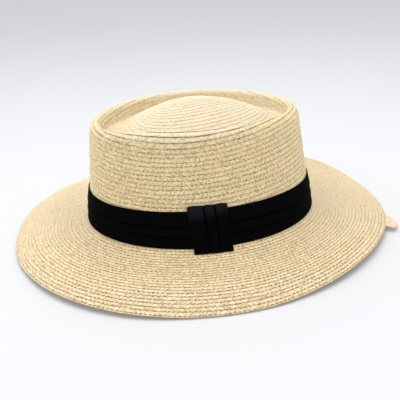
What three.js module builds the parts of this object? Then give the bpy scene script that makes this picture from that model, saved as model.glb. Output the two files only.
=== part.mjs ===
// A gambler hat: a telescope crown and a broad brim of sewn straw braid, trimmed with a black cloth band
// in two tucks and a pleated loop that stands for its knot.
// Millimetres, +Z up. The hat stands on the edge of its brim at z = 0, its long axis runs along X with the
// front towards -X, and the loop sits at its side, towards -Y.

import * as THREE from "three";

// Straw: a wall of two overlapping rows of braid.
const strawThickness = 2.2;
const pieceGap = 0.3;

// Crown: its outer oval at the brim seam, and how far it rises and draws in from there to the crest.
const crownHalfLength = 100;
const crownHalfWidth = 82.9;
const crownRise = 86.1;
const crownDrawIn = { length: 6.6, width: 21.3 };
const crownSetBack = { x: -3.5, y: 1.3 };

// Crest: a rounded ridge round the top, not quite level, with the moat inside it.
const crestOuter = { reach: 5, height: 7.1 };
const crestInner = { reach: 4, height: 4.6 };
const crestSway = { x: -0.8, y: 0.7, saddle: -1.5 };
const moatDepth = 13.6;
const moatRadius = 2.2;
const moatWallLean = 1.4; // how far the ridge's inner face runs in on its way down
const moatInset = crestOuter.reach + crestInner.reach + moatWallLean + moatRadius;
const domeInset = moatInset + moatRadius;
const domePeak = 10.4; // above the crest
const domePower = 1.93;
const domeOffset = { x: -2.4, y: 1.2 };

// The table under the hat: how far it lies below the seam, and its slopes as the leaning crown sees it.
const seamHeight = 18.1;
const tableSlope = { x: 0.0349, y: 0.0191 };

// Brim: it falls gently from the seam and rolls down at its edge.
const brimFall = 0.14;
const rollPower = 7.7; // the roll's height grows with this power of the way out
const seamLip = 2.6; // how far the brim runs in under the crown's wall
const edgeFootShare = 0.97; // from here out the last row is folded under, and its underside is level
const edgeThickness = 1.5;
const brimEdge = [
  { angle: 0, reach: 70.3, height: 2.3 },
  { angle: 20, reach: 72.0, height: 7.5 },
  { angle: 40, reach: 73.3, height: 7.2 },
  { angle: 60, reach: 74.1, height: 3.8 },
  { angle: 80, reach: 72.0, height: 1.3 },
  { angle: 100, reach: 69.8, height: 2.6 },
  { angle: 120, reach: 67.7, height: 4.5 },
  { angle: 140, reach: 65.7, height: 5.3 },
  { angle: 160, reach: 63.9, height: 3.6 },
  { angle: 180, reach: 64.5, height: 3.5 },
  { angle: 200, reach: 67.4, height: 4.9 },
  { angle: 220, reach: 68.9, height: 4.0 },
  { angle: 240, reach: 68.2, height: 1.4 },
  { angle: 260, reach: 68.2, height: 1.5 },
  { angle: 280, reach: 69.6, height: 5.8 },
  { angle: 300, reach: 69.2, height: 9.2 },
  { angle: 320, reach: 67.2, height: 6.8 },
  { angle: 340, reach: 68.4, height: 1.4 },
];
const braidEnd = { angle: 324, reach: 8.4, spread: 3.4 }; // where the last row of braid runs off the edge

// Band: three tiers of cloth, each but the lowest folded down over the one below it.
const bandHeight = 28.6;
const bandTiers = [
  { from: 0, to: 0.34, foot: 2.0, head: 1.3 },
  { from: 0.34, to: 0.57, foot: 2.2, head: 1.3 },
  { from: 0.57, to: 1, foot: 2.2, head: 1.1 },
];
const foldRound = 0.5;

// Loop: a strip in three upright pleats, wrapped over the band and leaning a little to the front.
const loopAngle = 250.4;
const loopPleats = [{ width: 10.4 }, { width: 8.1 }, { width: 12 }]; // from the back to the front
const loopLean = 4.5;
const loopThickness = 1.7;
const loopBelly = 0.3; // how far the middle of the plate stands forward of its ends
const loopPleatRise = 0.9;
const loopLipRise = 1.6;
const loopLipSlant = 0.8;
const loopStepsPerPleat = 4;

const ringSegments = 72;
const brimSegments = 120;

const strawMaterial = { color: 0xdcc493, roughness: 0.72, metalness: 0 };
const clothMaterial = { color: 0x0c0b0c, roughness: 0.85, metalness: 0 };

const radians = THREE.MathUtils.degToRad;

// A point on the crown, or just off it: r is the distance from the axis along +X at the seam, less what
// lies between the crown's outside and the point, and z is the height above the seam.
function crownPoint(r, z, angle) {
  const rise = THREE.MathUtils.clamp(z / crownRise, 0, 1);
  const halfLength = crownHalfLength - crownDrawIn.length * rise;
  const halfWidth = crownHalfWidth - crownDrawIn.width * rise;
  const inset = Math.min(crownHalfLength - r, domeInset);
  const inward = Math.min(r / (crownHalfLength - domeInset), 1); // 1 outside the dome, 0 at its middle
  const c = Math.cos(angle);
  const s = Math.sin(angle);
  const sway = crestSway.x * c + crestSway.y * s + crestSway.saddle * Math.cos(2 * angle);
  const offset = 1 - inward;
  return new THREE.Vector3(
    (halfLength - inset) * inward * c + crownSetBack.x * rise + domeOffset.x * offset,
    (halfWidth - inset) * inward * s + crownSetBack.y * rise + domeOffset.y * offset,
    z + sway * rise * inward,
  );
}

// Points on a quarter of an ellipse, from one angle to another, leaving the first one out.
function arcPoints(centre, reach, height, fromDegrees, toDegrees, steps) {
  const points = [];
  for (let i = 1; i <= steps; i++) {
    const t = radians(fromDegrees + ((toDegrees - fromDegrees) * i) / steps);
    points.push(new THREE.Vector2(centre.x + reach * Math.cos(t), centre.y + height * Math.sin(t)));
  }
  return points;
}

// The outside of the crown's wall, from its foot over the crest and the moat to the top of the dome.
function crownOutline() {
  const shoulder = crownRise - crestOuter.height;
  const crestMiddle = crownHalfLength - crestOuter.reach;
  const moatMiddle = crownHalfLength - moatInset;
  const moatFloor = crownRise - moatDepth;
  const domeFoot = crownHalfLength - domeInset;
  const points = [
    new THREE.Vector2(crownHalfLength, pieceGap),
    new THREE.Vector2(crownHalfLength, shoulder / 2),
    new THREE.Vector2(crownHalfLength, shoulder),
  ];
  points.push(...arcPoints({ x: crestMiddle, y: shoulder }, crestOuter.reach, crestOuter.height, 0, 90, 4));
  const inside = { x: crestMiddle, y: crownRise - crestInner.height };
  points.push(...arcPoints(inside, crestInner.reach, crestInner.height, 90, 180, 3));
  const bottom = { x: moatMiddle, y: moatFloor + moatRadius };
  points.push(...arcPoints(bottom, moatRadius, moatRadius, 0, -120, 4));
  for (const share of [0.94, 0.82, 0.68, 0.52, 0.35, 0.17, 0]) {
    const drop = (domePeak + moatDepth) * share ** domePower;
    points.push(new THREE.Vector2(domeFoot * share, crownRise + domePeak - drop));
  }
  return points;
}

// The outline moved to its right by a distance, point by point; a point on the axis stays on it.
function offsetOutline(points, distance) {
  return points.map((point, i) => {
    const before = points[Math.max(i - 1, 0)];
    const after = points[Math.min(i + 1, points.length - 1)];
    const along = after.clone().sub(before).normalize();
    const moved = new THREE.Vector2(point.x - along.y * distance, point.y + along.x * distance);
    return point.x < 1e-6 ? new THREE.Vector2(0, point.y - distance) : moved;
  });
}

// A solid of revolution about Z whose every vertex (r, z, angle) is then moved by place.
function warpedLathe(profile, segments, place) {
  const geometry = new THREE.LatheGeometry(profile, segments);
  const position = geometry.getAttribute("position");
  for (let i = 0; i < position.count; i++) {
    const r = Math.hypot(position.getX(i), position.getZ(i));
    const step = Math.round((Math.atan2(position.getX(i), position.getZ(i)) / Math.PI) * (segments / 2));
    const angle = (2 * Math.PI * ((step + segments) % segments)) / segments;
    const point = place(r, position.getY(i), r < 1e-6 ? 0 : angle);
    position.setXYZ(i, point.x, point.y, point.z);
  }
  return geometry;
}

function crownGeometry() {
  const outside = crownOutline();
  const inside = offsetOutline(outside, strawThickness);
  inside[0].y = pieceGap;
  return warpedLathe([...inside.reverse(), ...outside], ringSegments, crownPoint);
}

// A value of the brim's edge table at any angle, through a smooth curve round the rows.
function edgeValue(column, angle) {
  const rows = brimEdge.length;
  const turn = ((angle / (2 * Math.PI)) % 1) * rows;
  const row = Math.floor(turn);
  const t = turn - row;
  const at = (k) => brimEdge[(row + k + rows) % rows][column];
  const slopeHere = (at(1) - at(-1)) / 2;
  const slopeNext = (at(2) - at(0)) / 2;
  const rise = at(1) - at(0);
  const curve = 3 * rise - 2 * slopeHere - slopeNext;
  return at(0) + slopeHere * t + curve * t ** 2 + (slopeHere + slopeNext - 2 * rise) * t ** 3;
}

// The brim's upper face: share runs from 0 at the seam to 1 at the edge. A negative share is a plain
// distance in under the crown.
function brimSurface(share, angle) {
  const c = Math.cos(angle);
  const s = Math.sin(angle);
  const normal = new THREE.Vector2(c / crownHalfLength, s / crownHalfWidth).normalize();
  const fromBraidEnd = (THREE.MathUtils.radToDeg(angle) - braidEnd.angle) / braidEnd.spread;
  const reach = edgeValue("reach", angle);
  const spur = braidEnd.reach * Math.exp(-(fromBraidEnd ** 2)) * Math.max(share, 0) ** rollPower;
  const out = share < 0 ? share * 100 : reach * share + spur;
  const x = crownHalfLength * c + normal.x * out;
  const y = crownHalfWidth * s + normal.y * out;
  if (share < 0) return new THREE.Vector3(x, y, 0);
  const edgeX = crownHalfLength * c + normal.x * reach;
  const edgeY = crownHalfWidth * s + normal.y * reach;
  const table = -seamHeight + tableSlope.x * edgeX + tableSlope.y * edgeY;
  const roll = table + edgeValue("height", angle) + brimFall * reach;
  return new THREE.Vector3(x, y, -brimFall * reach * share + roll * share ** rollPower);
}

// The brim is a flat ring first: 100 is the seam, 200 the edge, and its depth is the straw's.
function brimGeometry() {
  const shares = [-seamLip / 100, 0, 0.35, 0.6, 0.76, 0.87, 0.94];
  const upper = [...shares, 1].map((share) => new THREE.Vector2(100 + 100 * share, 0));
  const underShares = [...shares, edgeFootShare, 1];
  const lower = underShares.map((share) => new THREE.Vector2(100 + 100 * share, -strawThickness));
  const profile = [...lower, ...upper.reverse(), lower[0].clone()];
  return warpedLathe(profile, brimSegments, (r, z, angle) => {
    const share = (r - 100) / 100;
    const step = 0.01;
    const point = brimSurface(share, angle);
    if (share <= 0) return point.setZ(z);
    if (z < 0 && share > edgeFootShare - step / 2) {
      return point.setZ(brimSurface(1, angle).z - edgeThickness);
    }
    const outward = brimSurface(share + step, angle).sub(brimSurface(share - step / 2, angle));
    const around = brimSurface(share, angle + step).sub(brimSurface(share, angle - step));
    return point.addScaledVector(outward.cross(around).normalize(), z);
  });
}

// The outside of the band's section, from its foot up: distance out from the crown, and height.
function bandOutline() {
  const points = [];
  for (const tier of bandTiers) {
    const foot = pieceGap + bandHeight * tier.from;
    const head = pieceGap + bandHeight * tier.to;
    if (tier.from > 0) points.push(new THREE.Vector2(tier.foot - foldRound, foot - foldRound / 2));
    points.push(new THREE.Vector2(tier.foot, foot + foldRound));
    points.push(new THREE.Vector2(tier.head, head - foldRound / 2));
  }
  return points;
}

function bandGeometry() {
  const onCrown = ({ x, y }) => new THREE.Vector2(crownHalfLength + x, y);
  const top = pieceGap + bandHeight;
  const inside = [new THREE.Vector2(pieceGap, top), new THREE.Vector2(pieceGap, pieceGap)];
  const section = [...inside, new THREE.Vector2(bandTiers[0].foot - foldRound, pieceGap), ...bandOutline()];
  section.push(new THREE.Vector2(bandTiers[2].head - foldRound / 2, top));
  const profile = section.map(onCrown);
  return warpedLathe([...profile, profile[0].clone()], ringSegments, crownPoint);
}

// The loop's section is an L: a plate in front of the band and a lip back over its top. It runs along the
// band, bends round the crown with it, and swells into its pleats.
function loopGeometry() {
  const back = Math.max(...bandTiers.map((tier) => tier.foot)) + pieceGap;
  const front = back + loopThickness;
  const lipUnder = bandHeight + 2 * pieceGap;
  const lipOver = lipUnder + loopLipRise;
  const foot = pieceGap - brimFall * back;
  const section = new THREE.Shape([
    new THREE.Vector2(back, foot),
    new THREE.Vector2(front, foot - brimFall * loopThickness),
    new THREE.Vector2(front + loopBelly, bandHeight * 0.35),
    new THREE.Vector2(front + loopBelly, bandHeight * 0.7),
    new THREE.Vector2(front, lipUnder),
    new THREE.Vector2(front - loopLipSlant, lipOver),
    new THREE.Vector2(pieceGap * 2, lipOver),
    new THREE.Vector2(pieceGap * 2, lipUnder),
    new THREE.Vector2(back, lipUnder),
  ]);
  const steps = loopPleats.length * loopStepsPerPleat;
  const geometry = new THREE.ExtrudeGeometry(section, { depth: steps, steps, bevelEnabled: false });
  const position = geometry.getAttribute("position");
  const width = loopPleats.reduce((sum, pleat) => sum + pleat.width, 0);
  for (let i = 0; i < position.count; i++) {
    const z = position.getY(i);
    const step = Math.round(position.getZ(i));
    const pleat = Math.min(Math.floor(step / loopStepsPerPleat), loopPleats.length - 1);
    const share = step / loopStepsPerPleat - pleat;
    const before = loopPleats.slice(0, pleat).reduce((sum, { width: w }) => sum + w, 0);
    const along = before + share * loopPleats[pleat].width - width / 2;
    const swell = position.getX(i) >= front - loopLipSlant ? loopPleatRise * Math.sin(Math.PI * share) : 0;
    const lean = Math.tan(radians(loopLean)) * (z - bandHeight / 2);
    const angle = radians(loopAngle) - (along + lean) / crownHalfLength;
    const point = crownPoint(crownHalfLength + position.getX(i) + swell, z, angle);
    position.setXYZ(i, point.x, point.y, point.z);
  }
  return geometry;
}

// The pieces are made about the crown's own axis. This stands them on the table, where the crown leans.
function standOnTable(geometry) {
  const tableNormal = new THREE.Vector3(-tableSlope.x, -tableSlope.y, 1).normalize();
  const lean = new THREE.Quaternion().setFromUnitVectors(tableNormal, new THREE.Vector3(0, 0, 1));
  return geometry.translate(0, 0, seamHeight).applyQuaternion(lean);
}

// Where the brim's edge is pressed on the table it goes flat.
function pressFlat(geometry) {
  const position = geometry.getAttribute("position");
  for (let i = 0; i < position.count; i++) position.setZ(i, Math.max(position.getZ(i), 0));
  return geometry;
}

function piece(name, geometry, look) {
  geometry.computeVertexNormals();
  const mesh = new THREE.Mesh(geometry, new THREE.MeshStandardMaterial(look));
  mesh.name = name;
  return mesh;
}

const hat = new THREE.Group();
hat.add(piece("crown", standOnTable(crownGeometry()), strawMaterial));
hat.add(piece("brim", pressFlat(standOnTable(brimGeometry())), strawMaterial));
hat.add(piece("hat_band", standOnTable(bandGeometry()), clothMaterial));
hat.add(piece("band_loop", standOnTable(loopGeometry()), clothMaterial));

// The origin is under the middle of the whole hat.
const middle = new THREE.Box3().setFromObject(hat).getCenter(new THREE.Vector3());
hat.position.set(-middle.x, -middle.y, 0);

export default hat;
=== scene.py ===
import math
from functools import partial
import bmesh
import bpy
import numpy as np
from mathutils import Matrix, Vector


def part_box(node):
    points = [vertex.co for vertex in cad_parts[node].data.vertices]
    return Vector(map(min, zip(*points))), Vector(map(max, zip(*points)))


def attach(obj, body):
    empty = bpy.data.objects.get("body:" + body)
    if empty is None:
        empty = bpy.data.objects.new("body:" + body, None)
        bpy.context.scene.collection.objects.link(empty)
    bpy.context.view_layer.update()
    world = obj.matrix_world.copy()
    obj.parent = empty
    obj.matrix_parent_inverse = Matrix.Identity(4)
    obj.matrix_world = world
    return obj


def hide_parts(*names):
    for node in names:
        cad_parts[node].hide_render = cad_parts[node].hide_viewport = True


# A gambler hat: sewn straw braid with a pleated black cloth band.
# Shapes are worked out in millimetres about the crown's own axis, with the brim seam at height 0,
# then stood on the table where the crown leans a little, and scaled to metres.

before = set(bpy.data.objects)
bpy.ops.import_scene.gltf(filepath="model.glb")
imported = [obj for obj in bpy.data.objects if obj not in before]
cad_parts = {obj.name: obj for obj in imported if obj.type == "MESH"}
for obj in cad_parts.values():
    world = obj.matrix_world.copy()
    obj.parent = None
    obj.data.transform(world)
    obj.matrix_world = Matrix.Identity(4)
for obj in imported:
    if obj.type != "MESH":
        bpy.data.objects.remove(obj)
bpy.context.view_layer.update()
print("frame loaded:", ", ".join(sorted(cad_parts)))


def unit(vectors):
    # the same directions at length 1
    return vectors / np.maximum(np.linalg.norm(vectors, axis=-1, keepdims=True), 1e-12)


def alongPath(points):
    # the distance from a path's start to each of its points
    return np.concatenate([[0], np.cumsum(np.linalg.norm(np.diff(points, axis=0), axis=-1))])


def smooth(share):
    # a smooth step, from 0 at 0 to 1 at 1: three squares less two cubes
    share = np.clip(share, 0, 1)
    return share ** 2 * (3 - 2 * share)


def hump(angle, middle, width):
    # a bell curve round the hat, 1 at its middle; middle and width are in degrees
    away = (angle - math.radians(middle) + np.pi) % (2 * np.pi) - np.pi
    return np.exp(-(away / math.radians(width)) ** 2)


# where the hat stands
table = {
    "seamHeight": 18.1,  # of the brim seam over the table
    "slopeX": 0.0349,  # the table's slopes as the leaning crown sees them
    "slopeY": 0.0191,
}


def leanMatrix():
    # the rotation that takes the table's normal straight up: one, plus their cross product's matrix, plus
    # that matrix squared over one and the normal's height
    normal = unit(np.array([-table["slopeX"], -table["slopeY"], 1.0]))
    x, y, z = np.cross(normal, [0.0, 0.0, 1.0])
    cross = np.array([[0, -z, y], [z, 0, -x], [-y, x, 0]])
    return np.eye(3) + cross + cross @ cross / (1 + normal[2])


lean = leanMatrix()
place = {"x": 0.0, "y": 0.0}  # filled in from the brim's box, once its edge is known


def stand(points):
    # hat frame in millimetres to the row frame in metres: lifted, leaned and set in place
    moved = (points + np.array([0, 0, table["seamHeight"]])) @ lean.T
    return (moved + np.array([place["x"], place["y"], 0])) / 1000


# the crown's surface
crown = {
    "halfLength": 100.0,  # outer oval at the seam
    "halfWidth": 82.9,
    "rise": 86.1,  # seam to crest
    "drawInLength": 6.6,  # how much each half axis shrinks up to the crest
    "drawInWidth": 21.3,
    "setBackX": -3.5,
    "setBackY": 1.3,
    "outerReach": 5.0,  # rounded crest, outside and inside of its top
    "outerHeight": 7.1,
    "innerReach": 4.0,
    "innerHeight": 4.6,
    "swayX": -0.8,  # the crest is not quite level
    "swayY": 0.7,
    "saddle": -1.5,
    "lift": 2.4,  # the crest stands higher at its front left
    "liftAngle": 228.0,
    "liftSpread": 27.0,
    "moatDepth": 13.6,
    "moatRadius": 2.2,
    "moatWallLean": 1.4,
    "domePeak": 10.4,  # above the crest
    "domePower": 1.93,
    "domeOffsetX": -2.4,
    "domeOffsetY": 1.2,
    "domeLine": 18.0,  # half the straight row that the dome starts from
    "foot": 0.3,  # the wall stands this far clear of the brim
}
domeInset = sum(crown[key] for key in ("outerReach", "innerReach", "moatWallLean")) + 2 * crown["moatRadius"]


def halfAxes(rise):
    # the crown's outer half axes, shrinking evenly on its way up
    return (crown["half" + way] - crown["drawIn" + way] * rise for way in ("Length", "Width"))


def swayed(x, y, z, rise, shareX, shareY, saddle):
    # a point set back and swayed by its share of the crown's rise
    sway = crown["swayX"] * shareX + crown["swayY"] * shareY + crown["saddle"] * saddle
    return np.stack([x + crown["setBackX"] * rise, y + crown["setBackY"] * rise, z + sway * rise], -1)


def crownPoint(inset, z, angle):
    # the oval at height z, shrunk by inset, and lifted at the front left of its top
    rise = np.clip(z / crown["rise"], 0, 1)
    halfLength, halfWidth = halfAxes(rise)
    c, s = np.cos(angle), np.sin(angle)
    top = smooth((z - crown["rise"]) / (crown["moatDepth"] - 1) + 1)
    z = z + crown["lift"] * hump(angle, crown["liftAngle"], crown["liftSpread"]) * top
    return swayed((halfLength - inset) * c, (halfWidth - inset) * s, z, rise, c, s, np.cos(2 * angle))


def domePoint(inward, angle):
    # ovals shrinking evenly from the dome's foot, at 0, to a short middle line, at 1; the height falls from
    # the peak by a power of the share of the way out, found in a few rounds
    footZ = crown["rise"] - crown["moatDepth"]
    footLength, footWidth = (half - domeInset for half in halfAxes(footZ / crown["rise"]))
    x0 = (footLength - (footLength - crown["domeLine"]) * inward) * np.cos(angle)
    y0 = footWidth * (1 - inward) * np.sin(angle)
    peak = crown["rise"] + crown["domePeak"]
    z = np.full(np.broadcast(inward, angle).shape, footZ)
    for _ in range(6):
        rise = np.clip(z / crown["rise"], 0, 1)
        halfLength, halfWidth = halfAxes(rise)
        shareX = x0 / (halfLength - domeInset)
        shareY = y0 / (halfWidth - domeInset)
        share = np.clip(np.hypot(shareX, shareY), 1e-4, 1)
        z = peak - (crown["domePeak"] + crown["moatDepth"]) * share ** crown["domePower"]
    x, y = x0 + crown["domeOffsetX"] * (1 - share), y0 + crown["domeOffsetY"] * (1 - share)
    return swayed(x, y, z, rise, shareX, shareY, (shareX ** 2 - shareY ** 2) / share)


def arc(centreX, centreZ, reach, height, start, end, steps):
    # points on an ellipse's arc, from one angle to the other in degrees
    t = np.radians(np.linspace(start, end, steps))
    return np.stack([centreX + reach * np.cos(t), centreZ + height * np.sin(t)], -1)


def crownProfile():
    # inset and height from the dome's foot out over the moat and crest and down the wall, by distance
    top, moatRadius, reach = crown["rise"], crown["moatRadius"], crown["outerReach"]
    moatFloor = top - crown["moatDepth"]
    line = np.concatenate([
        arc(domeInset - moatRadius, moatFloor + moatRadius, moatRadius, moatRadius, -60, -180, 25),
        arc(reach, top - crown["innerHeight"], crown["innerReach"], crown["innerHeight"], 0, 90, 31),
        arc(reach, top - crown["outerHeight"], reach, crown["outerHeight"], 90, 180, 41),
        np.array([[0.0, crown["foot"]]]),
    ])
    distance = alongPath(line)
    keep = np.concatenate([[True], np.diff(distance) > 1e-6])
    return distance[keep], line[keep, 0], line[keep, 1]


profileDistance, profileInset, profileZ = crownProfile()


def domeDistances():
    # mean distance over the surface from the middle line to each ring, between the ends and the sides
    inward = np.linspace(1, 0, 120)[:, None]
    points = domePoint(inward, np.radians(np.array([[2.0, 45.0, 90.0, 135.0, 178.0, 225.0, 270.0, 315.0]])))
    steps = np.linalg.norm(np.diff(points, axis=0), axis=-1).mean(1)
    return np.concatenate([[0], np.cumsum(steps)]), inward[:, 0]


domeDistance, domeInward = domeDistances()
domeLength = domeDistance[-1]
crownLength = domeLength + profileDistance[-1]
rowSlide = {  # the rows don't run level with the crest: how far they slide out and in
    "place": [0, domeLength + 17, domeLength + 29, crownLength],
    "amount": [0, 6.2, 5.6, 0],
    "angle": 243.0,  # where they lie furthest out
}


def crownSurface(t, angle):
    # t is the distance out from the dome's middle line, over the crest and down to the seam; the slide is a
    # cosine of twice the angle
    slide = np.interp(t, rowSlide["place"], rowSlide["amount"])
    t = t + slide * np.cos(2 * (angle - math.radians(rowSlide["angle"])))
    onDome = domePoint(np.interp(t, domeDistance, domeInward), angle)
    inset = np.interp(t - domeLength, profileDistance, profileInset)
    z = np.interp(t - domeLength, profileDistance, profileZ)
    return np.where((t < domeLength)[..., None], onDome, crownPoint(inset, z, angle))


# the brim's surface
brim = {
    "fall": 0.087,  # it falls gently from the seam
    "rollPower": 3.86,  # and rolls down towards its edge
    "dip": 3.76,  # it lies this much lower a third of the way out
}
brimEdge = {  # every 20 degrees: reach from the seam, and height over the table
    "reach": [69.5, 71.8, 73.3, 74.1, 72.0, 69.8, 67.7, 65.3, 63.4, 64.5, 67.3, 69.1, 68.3, 68.7, 67.6, 66.4,
              66.4, 67.6],
    "height": [2.3, 7.5, 7.2, 3.8, 1.3, 2.6, 4.5, 5.3, 3.6, 3.5, 4.9, 4.0, 1.4, 1.5, 4.4, 6.6, 5.6, 1.4],
}


def edgeValue(column, angle):
    # a closed curve through the edge table's rows, a cubic between each two with slopes from both sides
    rows = np.array(brimEdge[column])
    turn = (angle / (2 * np.pi) % 1) * len(rows)
    row = np.floor(turn).astype(int)
    t = turn - row
    before, here, after, later = (rows[(row + k) % len(rows)] for k in (-1, 0, 1, 2))
    slope, slopeNext, rise = (after - before) / 2, (later - here) / 2, after - here
    squares, cubes = 3 * rise - 2 * slope - slopeNext, slope + slopeNext - 2 * rise
    return here + slope * t + squares * t ** 2 + cubes * t ** 3


def brimSurface(share, angle):
    # out along the oval's normal from 0 at the seam to 1 at the edge: an even fall, a dip of share times the
    # square of what is left of it (6.75 brings its peak to 1), and a roll by a power of the share
    seam = np.stack([crown["halfLength"] * np.cos(angle), crown["halfWidth"] * np.sin(angle)], -1)
    normal = unit(seam / np.array([crown["halfLength"], crown["halfWidth"]]) ** 2)
    reach = edgeValue("reach", angle)
    flat = seam + normal * (reach * share)[..., None]
    edge = seam + normal * reach[..., None]
    tableAt = -table["seamHeight"] + table["slopeX"] * edge[..., 0] + table["slopeY"] * edge[..., 1]
    roll = tableAt + edgeValue("height", angle) + brim["fall"] * reach
    part = np.clip(share, 0, 1)
    dip = 6.75 * brim["dip"] * part * (1 - part) ** 2
    rolled = roll * np.clip(share, 0, 1.2) ** brim["rollPower"]
    z = -brim["fall"] * reach * np.clip(share, 0, None) - dip + rolled
    return np.stack([flat[..., 0], flat[..., 1], z], -1)


brimTurns = 180  # the brim is measured every 2 degrees


def brimShares():
    # how far out each even share of the distance from seam to edge lies, at each angle, and the mean distance
    share = np.linspace(-0.04, 1.06, 221)[:, None]
    points = brimSurface(share, np.radians(np.arange(brimTurns) * 360 / brimTurns)[None, :])
    steps = np.linalg.norm(np.diff(points, axis=0), axis=-1)
    distance = np.concatenate([np.zeros((1, brimTurns)), np.cumsum(steps, axis=0)])
    seam, edge = (distance[np.argmin(np.abs(share - at))] for at in (0, 1))
    part = (distance - seam) / (edge - seam)
    even = np.linspace(-0.03, 1.05, 217)
    shares = np.stack([np.interp(even, part[:, k], share[:, 0]) for k in range(brimTurns)], -1)
    return even, shares, float((edge - seam).mean())


brimParts, brimShareTable, brimLength = brimShares()


def brimRowSurface(t, angle):
    # the same surface by distance out from the seam, for a brim of mean reach: rows are as many all round, so
    # each lies at its share of the way out; the table is blended both ways
    t, angle = np.broadcast_arrays(t, angle)
    part = np.clip((t / brimLength - brimParts[0]) / (brimParts[1] - brimParts[0]), 0, len(brimParts) - 1.001)
    turn = np.degrees(angle) * brimTurns / 360 % brimTurns
    i, j = np.floor(part).astype(int), np.floor(turn).astype(int) % brimTurns
    down, right = part - i, turn - np.floor(turn)
    near, far = (brimShareTable[i, k] * (1 - down) + brimShareTable[i + 1, k] * down
                 for k in (j, (j + 1) % brimTurns))
    return brimSurface(near * (1 - right) + far * right, angle)


def centreOnBrim():
    # the CAD brim's box gives the place of the whole hat: its far ends in -X and +Y are plain edge
    low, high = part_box("brim")
    edge = stand(brimSurface(np.ones(720), np.linspace(0, 2 * np.pi, 720, endpoint=False)))
    place["x"] = 1000 * (low[0] - edge[:, 0].min())
    place["y"] = 1000 * (high[1] - edge[:, 1].max())


centreOnBrim()
print("shapes ready, crown %.1f mm from middle to seam, at %.3f %.3f" % (crownLength, place["x"], place["y"]))


def addObject(name, data):
    # an object for the data, linked to the scene
    made = bpy.data.objects.new(name, data)
    bpy.context.scene.collection.objects.link(made)
    return made


def makePiece(name, grids, material, weld=False):
    # a grid has points, u and v of its columns and rows, and how deep each point lies; its rows close on
    # themselves unless it says not; its columns close where u has an end, or else are a ribbon with two cut
    # ends; a grid that encloses less than no volume is turned round
    vertices, faces, uvs, nooks, first = [], [], [], [], 0
    for grid in grids:
        points, u, v = grid["points"], grid["u"], grid["v"]
        rows, columns = points.shape[:2]
        closeRows, closeColumns = grid.get("closeRows", True), "uEnd" in grid
        steps = np.indices((rows - (not closeRows), columns - (not closeColumns))).reshape(2, -1, 1)
        cornerRow, cornerColumn = steps[0] + [0, 0, 1, 1], steps[1] + [0, 1, 1, 0]
        quads = cornerRow % rows * columns + cornerColumn % columns
        u = np.append(u, grid["uEnd"]) if closeColumns else u
        v = np.append(v, v[0]) if closeRows else v
        uv = np.stack([u[cornerColumn], v[cornerRow]], -1)
        flat = points.reshape(-1, 3)
        a, b, c, d = (flat[quads[:, k]] for k in range(4))
        volume = np.einsum("ij,ij->", a, np.cross(b, c) + np.cross(c, d))
        if volume < 0:  # faces point outwards
            quads, uv = quads[:, ::-1], uv[:, ::-1]
        if not closeColumns:  # the cut ends, between the ribbon's face and its back
            i = np.arange(rows // 2 - 1)
            foot = np.stack([i, i + 1, rows - 2 - i, rows - 1 - i], -1) * columns
            ends = np.concatenate([foot, foot[:, ::-1] + columns - 1])
            quads = np.concatenate([quads, ends if volume >= 0 else ends[:, ::-1]])
            uv = np.concatenate([uv, np.zeros((len(ends), 4, 2))])
        vertices.append(flat)
        faces.append(quads + first)
        uvs.append(uv.reshape(-1, 2))
        nooks.append(np.broadcast_to(grid["nook"], (rows, columns)).reshape(-1))
        first += len(flat)
    vertices, faces, uvs, nooks = map(np.concatenate, (vertices, faces, uvs, nooks))
    mesh = bpy.data.meshes.new(name)
    mesh.from_pydata(vertices.tolist(), [], faces.tolist(), shade_flat=False)
    layer = mesh.uv_layers.new(name="braid")
    layer.data.foreach_set("uv", uvs.astype(np.float32).ravel())
    depth = mesh.attributes.new("nook", "FLOAT", "POINT")
    depth.data.foreach_set("value", nooks.astype(np.float32))
    if weld:
        bm = bmesh.new()
        bm.from_mesh(mesh)
        bmesh.ops.remove_doubles(bm, verts=bm.verts, dist=2e-5)
        bm.to_mesh(mesh)
        bm.free()
    mesh.validate()
    mesh.materials.append(material)
    piece = addObject(name, mesh)
    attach(piece, "root")
    print("%s: %d triangles" % (name, 2 * len(faces)))
    return piece


# straw braid, row by row
braid = {
    "plaitLength": 3.6,  # one strand's turn along the row
    "plaitColumns": 4,
    "coarseColumns": 180,  # of a whole row that doesn't show
    "rowWidth": 3.4,
    "crownRows": 45,
    "brimRows": 24,
    "brimLast": 0.4,  # how much of the last row shows before it curls under
    "scallop": 0.52,  # the strands' turns along a row's outer edge
    "relief": 0.2,
    "vigour": (0.35, 1.65),  # how flat or full a plait may be
    "edgeWander": 0.2,  # a row's edge is not quite even
    "heave": 0.08,  # nor its height
    "bumps": 0.045,
    "seed": 11,
}
# a row's section, inner edge to outer edge and back underneath: share of the row's width plus a fixed
# distance, depth under the outside, how deep in the seam (which sets the seam's painted shade), and the
# strands' height, phase and turn there
braidSection = {
    "share": [0, 0, 0.30, 0.50, 0.70, 0.92, 1, 1, 1, 0],
    "plus": [-1.55, 0.15, 0, 0, 0, 0, 0, -0.2, -1.7, -1.45],
    "depth": [-1.3, -0.46, -0.2, -0.12, -0.06, 0, -0.24, -0.7, -1.15, -2.05],
    "nook": [1, 0.75, 0, 0, 0, 0, 0.1, 0.9, 1, 0.1],
    "strand": [0, 0.5, 1, 0.3, 1, 1, 1, 0.5, 0.5, 0.8],
    "phase": [0, 0.5, 0.32, 0.58, 0.85, 1, 1, 1, 0.3, 0],
    "edge": [0.5, -0.1, 0, 0, 0.15, 0.6, 1, 0.8, 0, 0.9],
}
firstSection = {  # closed over the dome's middle
    "plus": [0, 0.4, 0, 0, 0, 0, 0, -0.2, -1.7, 0],
    "depth": [-0.3, -0.28, -0.2, -0.12, -0.06, 0, -0.24, -0.7, -1.25, -1.25],
    "nook": [0, 0, 0, 0, 0, 0, 0.1, 0.9, 1, 0],
}
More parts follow.
